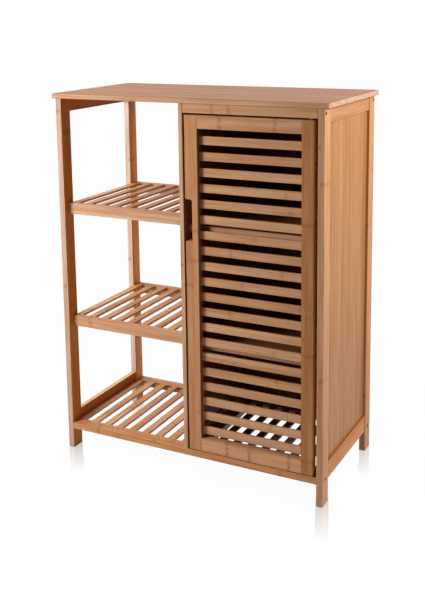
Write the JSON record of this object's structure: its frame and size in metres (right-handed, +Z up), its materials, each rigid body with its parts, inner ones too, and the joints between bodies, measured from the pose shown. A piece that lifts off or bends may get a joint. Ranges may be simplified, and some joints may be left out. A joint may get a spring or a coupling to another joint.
{
  "type": "bamboo storage cabinet",
  "caption": "Free-standing bamboo storage cabinet with open slatted shelves on the left and a slatted hinged door on the right.",
  "frame": {"origin": "centre of the footprint on the floor, under the middle of the bounding box", "axes": "+X to the right as seen from the front, +Y from the front to the back, +Z up"},
  "size_m": [0.7, 0.342, 0.894],
  "materials": {
    "bamboo_board": "satin lacquered edge-glued bamboo",
    "bamboo_timber": "satin lacquered laminated bamboo",
    "bamboo_panel": "satin lacquered strip bamboo",
    "bamboo_slat": "satin lacquered bamboo strip",
    "steel": "zinc plated",
    "dark_steel": "black oxide",
    "plastic": "moulded nylon",
    "dowel_wood": "bare turned beech"
  },
  "bodies": {
    "cabinet": {"top_board": "bamboo_board", "inner_upper_shelf": "bamboo_board", "inner_lower_shelf": "bamboo_board", "left_front_leg": "bamboo_timber", "left_rear_leg": "bamboo_timber", "right_front_leg": "bamboo_timber", "right_rear_leg": "bamboo_timber", "left_top_rail": "bamboo_timber", "left_bottom_rail": "bamboo_timber", "right_top_rail": "bamboo_timber", "right_bottom_rail": "bamboo_timber", "bottom_front_rail": "bamboo_timber", "bottom_rear_rail": "bamboo_timber", "bottom_middle_bearer": "bamboo_timber", "partition_front_post": "bamboo_timber", "partition_rear_post": "bamboo_timber", "partition_bottom_rail": "bamboo_timber", "partition_top_rail": "bamboo_timber", "front_apron": "bamboo_timber", "rear_top_rail": "bamboo_timber", "upper_shelf_front_rail": "bamboo_timber", "upper_shelf_rear_rail": "bamboo_timber", "lower_shelf_front_rail": "bamboo_timber", "lower_shelf_rear_rail": "bamboo_timber", "right_side_panel": "bamboo_panel", "partition_panel": "bamboo_panel", "back_panel": "bamboo_panel", "bottom_slats": "bamboo_slat", "upper_shelf_slats": "bamboo_slat", "lower_shelf_slats": "bamboo_slat", "hinge_washer": "steel", "shelf_pins": "steel", "catch_screws": "steel", "leg_screws": "dark_steel", "partition_screws": "dark_steel", "post_screws": "dark_steel", "rear_rail_screw": "dark_steel", "top_hinge_bush": "plastic", "bottom_hinge_bush": "plastic", "catch_body": "plastic", "frame_dowels": "dowel_wood", "partition_dowels": "dowel_wood", "top_board_dowels": "dowel_wood"},
    "door": {"door_left_stile": "bamboo_timber", "door_right_stile": "bamboo_timber", "door_top_rail": "bamboo_timber", "door_bottom_rail": "bamboo_timber", "door_slats": "bamboo_slat", "top_hinge_pin": "steel", "bottom_hinge_pin": "steel", "door_keeper": "steel"}
  },
  "joints": [
    {"name": "door_hinge", "type": "hinge", "parent": "cabinet", "child": "door", "pos_m": [0.308, -0.159, 0.069], "axis": [0, 0, 1], "range_deg": [0, 120]}
  ]
}
